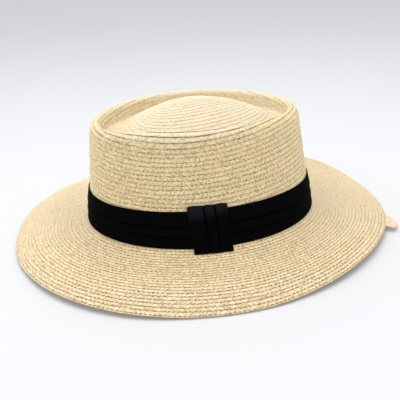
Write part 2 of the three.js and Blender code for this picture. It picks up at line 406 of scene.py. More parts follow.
lastSection = {"depth": [-1.3, -0.46, -0.2, -0.12, -0.06, 0, -0.34, -1.2, -1.75, -2.1]}  # curled under

chance = np.random.default_rng(braid["seed"])


def wander(rows):
    # for each seam, a sum of slow and quick waves round the ring, with phases of its own
    waves = np.array([2, 3, 5, 7, 11, 17, 26, 41])
    sizes = np.array([0.5, 0.5, 0.4, 0.3, 0.28, 0.25, 0.22, 0.2])
    phases = chance.uniform(0, 2 * np.pi, (rows + 1, len(waves)))
    return lambda row, angle: (sizes * np.sin(waves * angle[..., None] + phases[row])).sum(-1)


def evenAngles(surface, t, columns):
    # angles spaced evenly by distance round the ring at t
    dense = np.linspace(0, 2 * np.pi, 2881)
    length = alongPath(surface(np.full(dense.shape, t), dense))
    return np.interp(np.linspace(0, length[-1], columns, endpoint=False), length, dense), length[-1]


def outwardNormal(surface, t, angle, step):
    # across the row times along the row, from small steps each way
    across = surface(t + step, angle) - surface(t - step, angle)
    along = surface(t, angle + 0.002) - surface(t, angle - 0.002)
    return unit(np.cross(across, along))


def braidRow(surface, row, start, width, wave, look, seam, crisp=None, fade=None, calmness=1.0, coarse=False,
             firstRow=False, lastRow=False):
    # one row of braid round its ring: start and width are distances out in millimetres; strands rise and fall
    # as cosines along the row, out of step across it; look is how strongly its edge and strands stand out,
    # seam how dark the painted shade in its seam is, fade where both are fainter, crisp how much darker that
    # painted shade is at a distance, and calmness how much its edge keeps of its scallops
    section = {**braidSection, **(firstSection if firstRow else lastSection if lastRow else {})}
    share, plus, depth, nook, strandHere, phase, edge = (np.array(section[key])[:, None] for key in section)
    if calmness < 0.4:
        nook[1] = 1
    middle = start + 0.5 * width
    plaits = max(int(round(evenAngles(surface, middle, 8)[1] / braid["plaitLength"])), 6)
    columns = braid["coarseColumns"] if coarse else braid["plaitColumns"] * plaits
    angles = evenAngles(surface, middle, columns)[0]
    turn = np.arange(columns) / columns * plaits
    left = frontFade(angles, **fade) if fade else 1.0
    look, seam = look * left, seam * left
    outside = depth > -1  # the part of the section that may show
    offset = 0.618 * row % 1  # keeps neighbouring rows out of step
    strand, bump, unevenness = np.zeros((len(share), columns)), 0, 0
    if not coarse:
        numbers = np.arange(plaits)
        vigour = np.interp(turn, numbers, chance.uniform(*braid["vigour"], plaits), period=plaits)
        strand = np.cos(2 * np.pi * (turn + offset - phase)) * vigour
        bumps = chance.normal(0, braid["bumps"], (2, plaits))
        bumps = np.stack([np.interp(turn, numbers + k / 2, bumps[k], period=plaits) for k in (0, 1)])
        bump = bumps[(share[:, 0] > 0.5).astype(int)] * (strandHere > 0.6) * outside
    if firstRow:
        strand[[0, -1]] = 0
    elif not coarse:
        unevenness = wave(row, angles) * share + wave(max(row - 1, 0), angles) * (1 - share)
    scallop = braid["scallop"] * edge * (0.3 if lastRow else calmness)
    shift = plus + scallop * strand + braid["edgeWander"] * unevenness * (0.6 if lastRow else 1)
    depth = depth * np.where(outside, 0.15 + 0.85 * look, 1) + braid["heave"] * unevenness + bump
    depth = depth + braid["relief"] * strandHere * strand * (0.5 + 0.5 * look)
    t = start + share * width + shift
    if firstRow:
        t = np.maximum(t, 0)
    angle = np.broadcast_to(angles[None, :], t.shape)
    normal = outwardNormal(surface, np.maximum(t, 0.3) if firstRow else t, angle, 0.4)
    if firstRow:
        normal[0] = normal[-1] = [0, 0, 1]
    points = surface(t, angle) + normal * depth[..., None]
    across = (share + plus / braid["rowWidth"])[:, 0]
    return {
        "points": points, "closeRows": not firstRow, "nook": nook * seam * (crisp(t) if crisp else 1),
        "u": turn + offset, "uEnd": plaits + offset, "v": row + 0.5 + (across - 0.5) * 0.999,
    }


crownRowPlaces = {  # how far out the rows' edges lie, with wider rows over the crest
    "row": [0, 20, 21, 22, 23, 24, 45],
    "place": [0, *(domeLength + out for out in (13.1, 17.3, 21.0, 25.0, 28.7)), crownLength],
}
crownLooks = {  # rows are faint on the dome, clear over the crest and softer down the side; seam is the strength of their painted seam shade
    "row": [0, 8, 14, 17, 19, 20, 22, 24, 26, 44],
    "look": [0.0, 0.03, 0.06, 0.1, 0.4, 0.95, 0.95, 0.85, 0.8, 0.8],
    "seam": [0.0, 0.3, 0.42, 0.2, 0.4, 0.95, 0.95, 0.85, 0.8, 0.8],
    "scallop": [1, 1, 1, 0.8, 0.3, 0.15, 0.15, 0.5, 1, 1],
}
brimLooks = {"row": [0, 6, 14, 19, 23], "look": [0.95, 0.92, 0.88, 0.97, 1.0]}
crestFade = {"front": 264, "least": 0.4, "spread": 0.4}
brimFade = {"front": 245, "least": 0.48, "spread": 0.8}


def frontFade(angle, front, least, spread):
    # rows stand out most at the front side, round its angle: a smooth step of the cosine from there
    return least + (1 - least) * smooth(np.cos(angle - math.radians(front)) / spread)


def crestCrispness(t):
    # the painted seam shade over the crest is the darkest: a bell curve by distance out
    return 1 + 1.1 * np.exp(-((t - domeLength - 17) / 3.4) ** 2)


def crownRows(rows, coarse=False):
    # each row lies between its own edges, and its looks are read off the tables by its number
    places = np.interp(np.arange(braid["crownRows"] + 1), crownRowPlaces["row"], crownRowPlaces["place"])
    look, seam, calmness = (np.interp(rows, crownLooks["row"], crownLooks[key])
                            for key in ("look", "seam", "scallop"))
    return [
        braidRow(crownSurface, row, places[row], places[row + 1] - places[row], crownWave, look[k], seam[k],
                 crisp=crestCrispness, fade=crestFade if 14 < row < 23 else None, calmness=calmness[k],
                 coarse=coarse, firstRow=row == 0)
        for k, row in enumerate(rows)
    ]


def brimRows(rows):
    # the brim is as many rows wide all round, and the last one curls under
    width = brimLength / (braid["brimRows"] - 1 + braid["brimLast"])
    made = []
    for row in rows:
        last = row == braid["brimRows"] - 1
        look = np.interp(row, brimLooks["row"], brimLooks["look"])
        shown = width * (braid["brimLast"] if last else 1)
        grid = braidRow(brimRowSurface, row, row * width, shown, brimWave, look, look, fade=brimFade,
                        lastRow=last)
        grid["v"] += braid["crownRows"]
        made.append(grid)
    return made


def standGrids(grids):
    # the grids stood on the table, and pressed flat where they meet it
    for grid in grids:
        grid["points"] = stand(grid["points"])
        grid["points"][..., 2] = np.maximum(grid["points"][..., 2], 0)
    return grids


crownWave = wander(braid["crownRows"])
brimWave = wander(braid["brimRows"])


def newNode(tree, kind, inputs=None, **settings):
    # settings come first, because a group's sockets and a texture's inputs follow from them
    node = tree.nodes.new(kind)
    for key, value in settings.items():
        setattr(node, key, value)
    for key, value in (inputs or {}).items():
        if isinstance(value, bpy.types.NodeSocket):
            tree.links.new(value, node.inputs[key])
        else:
            node.inputs[key].default_value = value
    return node


def maths(tree, operation, a, b=0.0, c=0.0, clamp=False):
    # one operation on up to three values
    inputs = {0: a, 1: b, 2: c}
    return newNode(tree, "ShaderNodeMath", inputs, operation=operation, use_clamp=clamp).outputs[0]


def ramp(tree, value, low, high, lowOut=0.0, highOut=1.0):
    # a smooth step from one output to the other, as the value goes from low to high
    inputs = {"Value": value, "From Min": low, "From Max": high, "To Min": lowOut, "To Max": highOut}
    return newNode(tree, "ShaderNodeMapRange", inputs, interpolation_type="SMOOTHSTEP").outputs["Result"]


def blendColours(tree, factor, a, b, mode="MIX"):
    # colour a where the factor is 0, and a blended with b where it is 1
    inputs = {0: factor, 6: a, 7: b}
    return newNode(tree, "ShaderNodeMix", inputs, data_type="RGBA", blend_type=mode).outputs[2]


def shorthands(tree):
    # the same tools for one tree, with the two commonest operations by name
    multiply, multiplyAdd = (partial(maths, tree, operation) for operation in ("MULTIPLY", "MULTIPLY_ADD"))
    return partial(maths, tree), multiply, multiplyAdd, partial(ramp, tree), partial(blendColours, tree)


def fromMiddle(tree, share):
    # how far a share from 0 to 1 lies from its middle: twice it, less 1, with no sign
    return maths(tree, "ABSOLUTE", maths(tree, "MULTIPLY_ADD", share, 2.0, -1.0))


def combine(tree, x, y, z=0.0):
    # three values as a vector
    return newNode(tree, "ShaderNodeCombineXYZ", {0: x, 1: y, 2: z}).outputs[0]


def separate(tree, vector):
    # a vector as its three values
    return newNode(tree, "ShaderNodeSeparateXYZ", {0: vector}).outputs


def noise(tree, at, scale, detail):
    # soft noise about 0.5
    inputs = {"Vector": at, "Scale": scale, "Detail": detail}
    return newNode(tree, "ShaderNodeTexNoise", inputs).outputs["Fac"]


def drawLot(tree, at):
    # a random value from 0 to 1 that belongs to the place
    return newNode(tree, "ShaderNodeTexWhiteNoise", {"Vector": at}, noise_dimensions="3D").outputs["Value"]


def drawCells(tree, at, scale, dimensions):
    # scattered cells: the distance from each one's middle, and two random values that belong to it
    inputs = {"Vector": at, "Scale": scale}
    cells = newNode(tree, "ShaderNodeTexVoronoi", inputs, voronoi_dimensions=dimensions).outputs
    lots = newNode(tree, "ShaderNodeSeparateColor", {0: cells["Color"]}).outputs
    return cells["Distance"], lots[0], lots[1]


def distanceTowards(tree, at, direction):
    # how far the place lies in a direction: their dot product
    inputs = {0: at, 1: direction}
    return newNode(tree, "ShaderNodeVectorMath", inputs, operation="DOT_PRODUCT").outputs["Value"]


def colourStops(tree, value, stops):
    # runs through the colours given, each at its own value from 0 to 100
    node = newNode(tree, "ShaderNodeValToRGB", {0: maths(tree, "DIVIDE", value, 100.0)})
    elements = node.color_ramp.elements
    for k, (at, colour) in enumerate(stops):
        element = elements[k] if k < 2 else elements.new(at / 100)
        element.position = at / 100
        element.color = colour
    return node.outputs[0]


def newGroup(name, inputs, outputs):
    # a socket is given by its kind, or a number's socket by what it starts with
    group = bpy.data.node_groups.new(name, "ShaderNodeTree")
    for way, sockets in (("INPUT", inputs), ("OUTPUT", outputs)):
        for label, kind in sockets.items():
            number = isinstance(kind, float)
            socketType = "NodeSocket" + ("Float" if number else kind)
            socket = group.interface.new_socket(label, in_out=way, socket_type=socketType)
            if number:
                socket.default_value = kind
    return group, group.nodes.new("NodeGroupInput").outputs, group.nodes.new("NodeGroupOutput").inputs


def newMaterial(name, settings):
    # a Principled shader with its constants set on its own sockets
    material = bpy.data.materials.new(name)
    material.use_nodes = True
    shader = material.node_tree.nodes["Principled BSDF"]
    for key, value in settings.items():
        shader.inputs[key].default_value = value
    return material, material.node_tree, shader


def patternMaterial(name, group, settings, given, strength, distance):
    # colour, roughness and bump from a pattern that lies on the piece's own UV map and on its attribute for
    # how deep in a seam or fold a point is, which sets the painted shade there; colours in a list are run
    # through by the UV map's y
    material, tree, shader = newMaterial(name, settings)
    uv = newNode(tree, "ShaderNodeUVMap", uv_map="braid").outputs[0]
    nook = newNode(tree, "ShaderNodeAttribute", attribute_name="nook").outputs["Fac"]
    row = separate(tree, uv)[1]
    given = {key: colourStops(tree, row, value) if isinstance(value, list) else value
             for key, value in given.items()}
    pattern = newNode(tree, "ShaderNodeGroup", {0: uv, 1: nook, **given}, node_tree=group).outputs
    tree.links.new(pattern["Color"], shader.inputs["Base Color"])
    if "Roughness" in pattern:
        tree.links.new(pattern["Roughness"], shader.inputs["Roughness"])
    bumps = {"Strength": strength, "Distance": distance, "Height": pattern["Height"]}
    tree.links.new(newNode(tree, "ShaderNodeBump", bumps).outputs[0], shader.inputs["Normal"])
    return material


# straw colours: one straw, in copies by part tuned to the light each part gets, so partly painted light and
# shade
straw = {
    "topLight": (0.94, 0.815, 0.6, 1),  # the crown's top
    "topDark": (0.78, 0.63, 0.41, 1),
    "moatLight": (1.0, 0.89, 0.66, 1),  # in the moat round it, painted lighter against the moat's shade
    "moatDark": (0.98, 0.85, 0.60, 1),
    "sideLight": (1.0, 0.85, 0.56, 1),  # the crown's side, more saturated, as painted shade
    "sideDark": (0.80, 0.61, 0.3, 1),
    "brimLight": (0.915, 0.755, 0.52, 1),
    "brimDark": (0.71, 0.53, 0.26, 1),
    "edgeLight": (0.925, 0.775, 0.55, 1),
    "edgeDark": (0.71, 0.53, 0.26, 1),
    # the dark of the painted shade in seams, creases and pits, and of the grain's own specks
    "seam": (0.19, 0.10, 0.012, 1),
    "warmTint": (1.01, 0.99, 0.98, 1),  # broad patches lean to one or the other
    "coolTint": (0.985, 1.005, 0.99, 1),
}
marks = {  # a pair says between which values a mark comes in
    "strandLean": 0.9,  # how far along a strand leans over half a row
    "runLength": 0.16,  # slow changes of tone along a row
    "fibreLength": 4.0,
    "toneShare": 0.38,  # how much each tone darkens
    "runShare": 0.42,
    "fibreShare": 0.6,
    "lighter": -0.345,
    "pitChance": (0.62, 0.9),
    "glintChance": (0.5, 0.85),
    "glint": 0.55,
    "dashLength": 0.8,  # the seams' dashes
    "dashChance": (0.3, 0.75),
    "dashDepth": 0.6,
    # the front side, towards the camera: the grain is strongest there, and the brim gets painted light there
    "frontTowards": (-0.47, -0.88, 0.0),
    "frontSide": (0.0, 0.09),  # metres that way from the hat's middle
    "grainScale": 1250.0,
    "grainOffFront": 0.35,  # how much of the grain shows away from the front side
    "patchScale": 26.0,
}


def strawGroup():
    # Rows holds plaits along a row in x and the row's number and share in y; strands lean one way in a row's
    # inner half and the other way in its outer half, each with a tone of its own; dashes of painted shade
    # darken the seams, painted shade darkens the creases and pits, and painted light lightens glints and the
    # front side
    group, given, out = newGroup(
        "strawBraid",
        {"Rows": "Vector", "Nook": 0.0, "Light": "Color", "Dark": "Color", "Seam": "Color", "Seam depth": 1.0,
         "Pits": 0.3, "Specks": 2.4, "Creases": 0.22, "Grain": 0.3, "Painted front light": 0.0},
        {"Color": "Color", "Roughness": "Float", "Height": "Float"})
    do, times, timesPlus, step, blend = shorthands(group)
    vector = partial(combine, group)
    along, across = separate(group, given["Rows"])[:2]
    row = do("FLOOR", across)
    share = do("SUBTRACT", across, row)
    side = do("GREATER_THAN", share, 0.5)
    vee = fromMiddle(group, share)
    turn = timesPlus(vee, -marks["strandLean"], times(along, 2.0))
    turn = do("ADD", turn, times(side, 0.5))
    strand = do("FLOOR", turn)
    within = do("SUBTRACT", turn, strand)
    gap = step(fromMiddle(group, within), 0.5, 1.0)
    spine = step(vee, 0.0, 0.3, 1.0, 0.0)

    # tones: one for each strand, slow ones along a row, and fibres
    tone = drawLot(group, vector(strand, timesPlus(row, 2.0, side), 3.0))
    runAt = vector(times(along, marks["runLength"]), times(row, 7.3))
    run = noise(group, runAt, 1.0, 3.0)
    fibreAlong = timesPlus(within, marks["fibreLength"], times(tone, 60.0))
    fibre = noise(group, vector(fibreAlong, times(share, 2.0), row), 1.0, 2.0)

    # specks, of which some are pits darkened with painted shade and some glint with painted highlights
    speckAt = vector(times(along, given["Specks"]), times(across, 2.6))
    distance, pitLot, glintLot = drawCells(group, speckAt, 1.0, "2D")
    spot = step(distance, 0.22, 0.5, 1.0, 0.0)
    pit = times(spot, step(pitLot, *marks["pitChance"]))
    glint = times(spot, step(glintLot, *marks["glintChance"]))

    # the seams' dashes: painted shade deep in the seams, unbroken where they lie deepest
    dashAt = timesPlus(along, marks["dashLength"], times(row, 0.37))
    dashNumber = do("FLOOR", dashAt)
    dashShape = step(fromMiddle(group, do("SUBTRACT", dashAt, dashNumber)), 0.45, 0.85, 1.0, 0.0)
    chosen = drawLot(group, vector(dashNumber, row, 5.0))
    dash = times(dashShape, step(chosen, *marks["dashChance"]))
    dash = timesPlus(dash, marks["dashDepth"], step(across, 15.0, 19.0, 0.04, 0.36))
    unbroken = step(given["Nook"], 0.95, 1.25, 0.0, 0.9)
    unbroken = times(unbroken, step(chosen, 0.1, 0.6, 0.6, 1.0))
    seam = times(step(given["Nook"], 0.12, 0.62), times(dash, given["Seam depth"]))
    seam = do("MAXIMUM", seam, unbroken, clamp=True)

    # grain, on the front side, the outer rows and in the moat; the front side also gets painted light below
    at = newNode(group, "ShaderNodeTexCoord").outputs["Object"]
    patch = noise(group, at, marks["patchScale"], 3.0)
    frontSide = step(distanceTowards(group, at, marks["frontTowards"]), *marks["frontSide"])
    grain = drawCells(group, at, marks["grainScale"], "3D")[1]
    grain = step(grain, 0.12, 0.6, 1.0, 0.0)
    rows = timesPlus(frontSide, 1 - marks["grainOffFront"], marks["grainOffFront"])
    rows = times(rows, step(across, 18.0, 22.5, 0.25, 1.0))
    moat = times(step(across, 14.0, 17.0, 0.0, 0.55), step(across, 20.0, 22.0, 1.0, 0.0))
    grain = times(times(grain, given["Grain"]), do("MAXIMUM", rows, moat))

    # colour
    tones = do("ADD", times(tone, marks["toneShare"]), times(run, marks["runShare"]))
    fibres = timesPlus(fibre, marks["fibreShare"], marks["lighter"])
    colour = blend(do("ADD", tones, fibres, clamp=True), given["Light"], given["Dark"])
    tint = blend(step(patch, 0.35, 0.65), straw["warmTint"], straw["coolTint"])
    colour = blend(1.0, colour, tint, "MULTIPLY")
    colour = blend(times(glint, marks["glint"]), colour, given["Light"])
    # painted light: the front side is lightened by the given share
    colour = blend(1.0, colour, timesPlus(frontSide, given["Painted front light"], 1.0), "MULTIPLY")
    # painted shade in the gaps between strands, along the row's spine and in the pits
    crease = do("MAXIMUM", times(gap, given["Creases"]), times(spine, 0.08))
    crease = do("MAXIMUM", crease, times(pit, given["Pits"]))
    # the grain's specks are the straw's own; the creases and the seams take painted shade
    for dark in (grain, crease, seam):
        colour = blend(dark, colour, given["Seam"])
    group.links.new(colour, out["Color"])

    # finish
    rough = timesPlus(tone, 0.16, timesPlus(fibre, 0.2, 0.34))
    group.links.new(rough, out["Roughness"])
    bulge = do("SUBTRACT", 1.0, do("MAXIMUM", gap, times(spine, 0.6)))
    height = timesPlus(fibre, 0.25, times(bulge, 0.75))
    group.links.new(do("SUBTRACT", height, times(pit, 0.5)), out["Height"])
    return group


def strawMaterial(name, group, stops, settings):
    # its light and dark colours each run through those of the parts named, from row to row: copies of one
    # straw, tuned to the light on each part
    given = {shade: [(row, straw[part + shade]) for row, part in stops] for shade in ("Light", "Dark")}
    shine = {"Specular IOR Level": 0.22, "IOR": 1.5, "Sheen Weight": 0.0}
    return patternMaterial(name, group, shine, {**given, "Seam": straw["seam"], **settings}, 0.6, 0.0003)


braidGroup = strawGroup()
crownStraw = strawMaterial(
    "crownStraw", braidGroup, [(14, "top"), (16, "moat"), (20, "moat"), (23, "side")],
    {"Seam depth": 0.85, "Pits": 0.4, "Creases": 0.43, "Grain": 0.54})
brimStraw = strawMaterial(
    "brimStraw", braidGroup, [(45, "brim"), (60, "edge")],
    {"Seam depth": 1.0, "Pits": 0.35, "Creases": 0.34, "Grain": 0.5, "Painted front light": 0.19})

braidEnd = {  # the last row's end, a flap that leaves the edge: how far out its two sides lie
    "angles": [334.0, 331.6, 329.6, 327.8, 326.0, 324.1, 322.4, 321.2],
    "inner": [-2.4, -2.4, -2.4, -2.4, -2.2, -1.8, -1.2, -0.4],
    "outer": [-1.6, 0.6, 3.9, 6.6, 8.3, 9.4, 9.3, 8.4],
    "across": [0, 0.04, 0.14, 0.3, 0.5, 0.7, 0.86, 0.96, 1, 0.96, 0.7, 0.3, 0.04],  # its section
    "thick": [-0.35, -0.08, 0.1, 0.14, -0.02, 0.14, 0.1, -0.1, -0.4, -0.75, -0.95, -0.95, -0.75],
    "drop": 0.2,  # under the edge
    "slope": 0.06,
    "steps": 37,
    "plaits": 6,
    "scallop": 0.3,
    "relief": 0.1,
    "tipFrom": 0.86,  # the share of its run where its tip starts, and its length
    "tipLength": 0.15,
}


def braidEndGrid():
    # the section stretched between the flap's two sides, each a curve of the fifth power near its points; the
    # tip closes as an ellipse does
    t = np.linspace(0, 1, braidEnd["steps"])
    knots = np.linspace(0, 1, len(braidEnd["angles"]))
    angle, inner, outer = (np.polyval(np.polyfit(knots, braidEnd[key], 5), t)
                           for key in ("angles", "inner", "outer"))
    angle = np.radians(angle)
    edge = brimSurface(np.ones_like(angle), angle)
    outward = edge - brimSurface(np.full_like(angle, 0.97), angle)
    outward = unit(outward * [1, 1, 0])
    across, thick = (np.array(braidEnd[key])[:, None] for key in ("across", "thick"))
    tip = np.clip((t - braidEnd["tipFrom"]) / braidEnd["tipLength"], 0, 1)
    close = np.sqrt(np.clip(1 - tip ** 2, 0.02, 1))
    wave = np.cos(2 * np.pi * braidEnd["plaits"] * t + 2.6 * np.abs(across - 0.5))
    out = 0.5 * (inner + outer) + (across - 0.5) * ((outer - inner) * close + braidEnd["scallop"] * wave)
    under = braidEnd["drop"] + braidEnd["slope"] * np.maximum(out, 0)
    depth = thick * (0.3 + 0.7 * close) + braidEnd["relief"] * wave - under
    points = edge + outward * out[..., None] + np.array([0, 0, 1.0]) * depth[..., None]
    return {"points": points, "nook": 0.0, "u": t * braidEnd["plaits"], "v": 80.0 + across[:, 0]}


for pieceName, rows in (("crown_dome", range(0, 17)), ("crown_crest", range(17, 27)),
                        ("crown_side", range(27, 39)), ("crown_foot", range(39, 45))):
    grids = crownRows(rows, coarse=pieceName == "crown_foot")
    piece = makePiece(pieceName, standGrids(grids), crownStraw, weld=rows[0] == 0)
    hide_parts("crown")
for pieceName, rows in (("brim_inner", range(0, 9)), ("brim_middle", range(9, 17)),
                        ("brim_edge", range(17, 24))):
    grids = brimRows(rows) + ([braidEndGrid()] if pieceName == "brim_edge" else [])
    piece = makePiece(pieceName, standGrids(grids), brimStraw)
    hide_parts("brim")
print("straw done")

# cloth band and loop, in millimetres; a place is an angle in degrees, and how far its effect spreads
band = {
    "height": 28.6,
    "foot": 0.3,  # clear of the brim
    "inside": 0.3,  # and of the crown
    "depth": 2.2,
    "thickness": 0.36,
    "tiers": [9.7, 8.0, 10.9],  # heights of the three tiers, from the brim up
    "tuck": 4.8,  # cloth folded away behind each tier
    "hem": 5.2,
    "droop": 0.5,  # how far its outside has slipped down
    "sideDroop": 0.85,  # and how much further behind the loop
    "sidePlace": (296, 46),
    "topDroop": 1.7,  # how much lower its top edge lies at the back of that side
    "topPlace": (332, 28),
    "drift": ([(0.45, 2, 0.8), (0.3, 5, 2.1), (0.16, 11, 0)],  # each tuck's waves: size, number, start
              [(0.4, 3, 2.6), (0.26, 7, 0.4), (0.12, 13, 1)]),
    "driftReach": 3.2,
    "ride": (0.9, 1.7),  # how far each tuck rides up behind the loop
    "ridePlace": (276, 26),
    "slack": [(0.05, 4, 1), (0.03, 9, 3)],
    "lengthAt": (-1.2, 14.0),  # inset and height of the ring that gives the cloth's length
    "columns": 216,
}
loop = {
    "angle": 250.4,
    "pleats": [11.2, 8.0, 11.3],  # widths from the back of the hat to the front
    "lean": 0.8,
    "flare": 0.09,  # a little wider at its top
    "over": 2.55,  # its inside, out from the crown
    "rise": 2.3,  # how far its bend stands above the band
    "tuck": 3.6,
    "hem": 4.0,
    "swell": 0.75,
    "backing": 0.32,  # its section's own distance off the band
    "turned": 0.3,  # how much thinner it is at its bend, and where it is pressed at its foot
    "pressed": 0.5,
}


def tuckedPath(tiers, tuck, hem, shades, swell=0.0):
    # the middle of the cloth across a strip with two tucks: distance off the backing, place along the width,
    # and how deep in a fold, which sets the painted shade there (shades just under each fold's lip); each
    # tier's foot folds over the head of the one before it, and both raw edges turn in
    path = [(0.5, hem, 0), (0.5, 1.2, 0), (0.62, 0.5, 0), (1.05, 0.2, 0), (1.5, 0.32, 0), (1.74, 0.9, 0)]
    start = 0.0
    for i, width in enumerate(tiers):
        end = start + width
        shade = shades[min(i, 1)]
        path += [(1.74, start + 0.14 * width, 0), (1.62 + swell * 0.8, start + 0.34 * width, 0),
                 (1.4 + swell, start + 0.6 * width, 0)]
        if i < len(tiers) - 1:
            path += [(1.25 + swell * 0.5, end - 2.2, 0), (1.14 + swell * 0.4, end - 1.4, shade),
                     (1.08, end - 0.1, 1), (0.88, end + 0.3 * tuck, 1), (0.8, end + 0.8 * tuck, 1),
                     (0.86, end + tuck, 1), (1.02, end + 1.05 * tuck, 1), (1.2, end + 0.95 * tuck, 1),
                     (1.34, end + 0.6 * tuck, 1), (1.5, end + 0.3 * tuck, 1), (1.6, end + 0.12, 1),
                     (1.7, end - 0.28, 0.6), (1.88, end - 0.34, 0.2), (2.02, end + 0.05, 0),
                     (1.98, end + 0.6, 0)]
        else:
            path += [(1.12 + swell * 0.4, end - 1.2, 0), (1.0, end - 0.5, 0), (0.86, end - 0.14, 0),
                     (0.64, end - 0.12, 0), (0.52, end - 0.45, 0), (0.5, end - 1.4, 0), (0.5, end - hem, 0)]
        start = end
    return np.array(path)


def rounded(path):
    # each corner cut at a quarter and three quarters of its edges, ends kept
    a, b = path[:-1], path[1:]
    cut = np.stack([0.75 * a + 0.25 * b, 0.25 * a + 0.75 * b], 1).reshape(-1, path.shape[1])
    return np.concatenate([path[:1], cut, path[-1:]])


def leftOf(path):
    # the direction square to a path at each of its points
    slope = unit(np.gradient(path, axis=0))
    return np.stack([-slope[:, 1], slope[:, 0]], -1)


def ribbon(path, thickness):
    # the closed outline of a strip of cloth round its middle line, the distance along it, the folds' depth
    # and the strip's width
    path, fold = path[:, :2], path[:, 2]
    side = leftOf(path) * thickness / 2
    distance = alongPath(path)
    out, along = np.concatenate([path - side, (path + side)[::-1]]).T[..., None]
    return out, along, np.append(distance, distance[::-1]), np.append(fold, fold[::-1])[:, None], distance[-1]


def ripple(angle, waves):
    # a sum of sines round the hat, each with its size, its number of waves and where it starts
    return sum(size * np.sin(number * angle + start) for size, number, start in waves)


def bandGrid():
    # the folded section carried round the crown; each tuck drifts within a bell curve about its height, the
    # outside droops by its share of the depth, and the top by the square of its share of the height
    path = rounded(tuckedPath(band["tiers"], band["tuck"], band["hem"], (0.5, 1.0)))
    out, along, distance, fold, width = ribbon(path, band["thickness"])
    angle = np.linspace(0, 2 * np.pi, band["columns"], endpoint=False)[None, :]
    near = 0
    for tuck in (0, 1):
        drift = ripple(angle, band["drift"][tuck]) + band["ride"][tuck] * hump(angle, *band["ridePlace"])
        tuckAt = sum(band["tiers"][:tuck + 1])
        near = near + np.exp(-((along - tuckAt) / band["driftReach"]) ** 2) * drift
    outside = np.clip((out - band["inside"]) / band["depth"], 0, 1)
    droop = (band["droop"] + band["sideDroop"] * hump(angle, *band["sidePlace"])) * outside
    upper = np.clip(along / band["height"], 0, 1) ** 2
    droop = droop + band["topDroop"] * hump(angle, *band["topPlace"]) * upper
    pull = 1 + ripple(angle, band["slack"])
    out = band["inside"] + (out - band["inside"]) * pull
    points = crownPoint(-out, band["foot"] + along + near - droop, angle)
    middle = crownPoint(*(np.full(361, value) for value in band["lengthAt"]), np.linspace(0, 2 * np.pi, 361))
    length = alongPath(middle)[-1] / 1000
    u = np.linspace(0, length, band["columns"], endpoint=False)
    grid = {"points": stand(points), "nook": fold, "u": u, "uEnd": length, "v": distance / 1000}
    return grid, (width / 1000, length)


def loopGrid():
    # the same kind of strip stood upright: its section is carried over the band's top edge and down its front
    path = rounded(tuckedPath(loop["pleats"], loop["tuck"], loop["hem"], (0.9, 0.9), loop["swell"]))
    lift, along, distance, fold, width = ribbon(path, band["thickness"])
    top = band["foot"] + band["height"] + loop["rise"]
    over = loop["over"]
    wrap = rounded(rounded(np.array([
        (0.55, top + 0.15), (0.9, top + 0.32), (1.4, top + 0.30), (1.9, top + 0.1), (2.3, top - 0.6),
        (over, top - 2.0), (over + 0.12, top - 6), (over + 0.2, top * 0.55), (over + 0.35, top * 0.3),
        (over + 0.75, 4.2), (over + 1.4, 1.3), (over + 2.7, -0.95), (over + 4.6, -2.45)])))
    turned, pressed = np.clip((wrap[:, 1] - top + 2.5) / 2.5, 0, 1), np.clip((5 - wrap[:, 1]) / 7, 0, 1)
    lift = (lift - loop["backing"]) * (1 - loop["turned"] * turned - loop["pressed"] * pressed)
    out, z = (wrap[:, k] + leftOf(wrap)[:, k] * lift for k in (0, 1))
    along = (along - sum(loop["pleats"]) / 2) * (1 + loop["flare"] * z / band["height"])
    along = along + math.tan(math.radians(loop["lean"])) * (z - band["height"] / 2)
    points = crownPoint(-out, z, math.radians(loop["angle"]) - along / crown["halfLength"])
    run = alongPath(wrap)
    grid = {"points": stand(points), "nook": fold, "u": run / 1000, "v": distance / 1000}
    return grid, (width / 1000, run[-1] / 1000)


cloth = {
    "colour": (0.0012, 0.0012, 0.0013, 1),
    "lift": (0.0034, 0.0035, 0.0038, 1),
    "paintedSheen": (0.0085, 0.0085, 0.0115, 1),  # painted sheen where the loop turns over the band's top and faces the sky
    # painted shade in the folds, blended in by how deep in a fold a point is
    "fold": (0.0, 0.0, 0.0, 1),
    "threads": 2600.0,  # to the metre
    "napScale": 900.0,
    "wearScale": 70.0,
    "sheenSlant": 0.07,  # the painted sheen's end slants across the cloth, and is this soft
    "sheenSoft": -0.008,
    "foldShadeDepth": 0.93,
    "loopSheen": 0.009,  # metres of the loop; nothing of the band
    "bandSheen": -1.0,
}


def clothGroup():
    # plain weave: over and under as a product of two sine waves, with uneven threads and a faint nap; a
    # painted sheen over the start of the cloth, and painted shade in its folds
    group, given, out = newGroup(
        "plainWeave",
        {"Place": "Vector", "Fold shade": 0.0, "Threads": 2000.0, "Deep": "Color", "Raised": "Color",
         "Painted sheen": "Color", "Sheen to": 0.0},
        {"Color": "Color", "Height": "Float"})
    do, times, timesPlus, step, blend = shorthands(group)
    along, across = separate(group, given["Place"])[:2]
    warp, weft = (do("SINE", times(times(way, given["Threads"]), math.pi)) for way in (along, across))
    over = timesPlus(times(warp, weft), 0.5, 0.5)
    nap = noise(group, given["Place"], cloth["napScale"], 3.0)
    wear = noise(group, given["Place"], cloth["wearScale"], 2.0)
    mixture = timesPlus(nap, 0.4, timesPlus(wear, 0.5, -0.3))
    mixture = timesPlus(over, 0.45, mixture, clamp=True)
    colour = blend(mixture, given["Deep"], given["Raised"])
    # painted sheen over the start of the cloth, where the loop turns over the band's top
    end = timesPlus(across, cloth["sheenSlant"], given["Sheen to"])
    fade = step(along, do("ADD", end, cloth["sheenSoft"]), end, 1.0, 0.0)
    colour = blend(fade, colour, given["Painted sheen"])
    # painted shade in the folds
    colour = blend(times(given["Fold shade"], cloth["foldShadeDepth"]), colour, cloth["fold"])
    group.links.new(colour, out["Color"])
    group.links.new(timesPlus(nap, 0.4, times(over, 0.6)), out["Height"])
    return group


